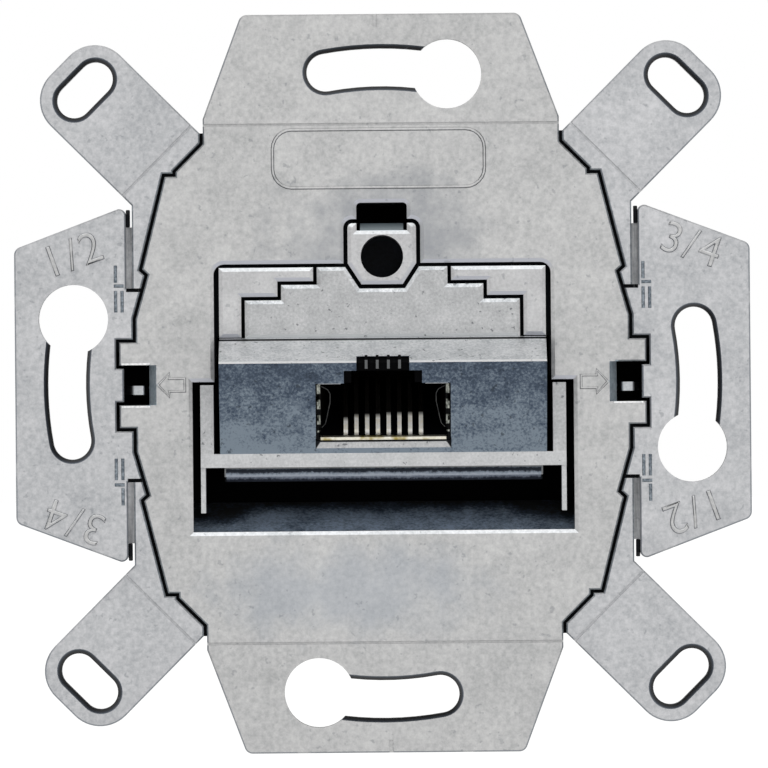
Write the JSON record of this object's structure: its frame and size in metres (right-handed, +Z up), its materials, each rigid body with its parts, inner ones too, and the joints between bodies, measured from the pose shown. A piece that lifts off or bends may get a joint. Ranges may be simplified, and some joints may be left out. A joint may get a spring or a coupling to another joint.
{
  "type": "isdn socket insert",
  "caption": "Flush-mounted ISDN socket insert: die-cast carrier with keyhole tabs, wings and arms, slanted shielded modular port and screened rear housing.",
  "frame": {"origin": "on the axis of the fixing circle, at the wall face of the carrier plate", "axes": "+Z up, +Y into the wall, the front faces -Y, +X to the right seen from the front"},
  "size_m": [0.0698, 0.0326, 0.0702],
  "materials": {
    "clamp_steel": "zinc-plated steel",
    "zinc_casting": "as-cast zinc, fine mottle, satin",
    "board_laminate": "green solder mask",
    "screw_steel": "zinc-plated steel",
    "black_port_plastic": "moulded black thermoplastic",
    "gold_plated_wire": "gold-plated wire, polished",
    "black_insulation": "moulded black insulation",
    "port_sheet": "plated sheet metal",
    "spring_steel": "rolled strip",
    "terminal_plastic": "moulded light grey thermoplastic",
    "zinc_port_casting": "as-cast zinc, satin",
    "tinned_bronze": "tinned sheet"
  },
  "bodies": {
    "root": {"cable_clamp": "clamp_steel", "carrier_plate": "zinc_casting", "circuit_board": "board_laminate", "clamp_screws": "screw_steel", "contact_carrier": "black_port_plastic", "contact_spring_1": "gold_plated_wire", "contact_spring_2": "gold_plated_wire", "contact_spring_3": "gold_plated_wire", "contact_spring_4": "gold_plated_wire", "contact_spring_5": "gold_plated_wire", "contact_spring_6": "gold_plated_wire", "contact_spring_7": "gold_plated_wire", "contact_spring_8": "gold_plated_wire", "cover_fixing_screws": "screw_steel", "insulating_liner": "black_insulation", "jack_body": "black_port_plastic", "jack_shield": "port_sheet", "left_catch_box": "black_insulation", "left_catch_spring": "spring_steel", "left_side_bracket": "zinc_casting", "left_terminal_block": "terminal_plastic", "module_screws": "screw_steel", "outlet_housing": "zinc_port_casting", "rear_cover": "zinc_casting", "rear_housing": "zinc_casting", "right_catch_box": "black_insulation", "right_catch_spring": "spring_steel", "right_side_bracket": "zinc_casting", "right_terminal_block": "terminal_plastic", "terminal_contact_1": "tinned_bronze", "terminal_contact_2": "tinned_bronze", "terminal_contact_3": "tinned_bronze", "terminal_contact_4": "tinned_bronze", "terminal_contact_5": "tinned_bronze", "terminal_contact_6": "tinned_bronze", "terminal_contact_7": "tinned_bronze", "terminal_contact_8": "tinned_bronze"}
  },
  "joints": []
}
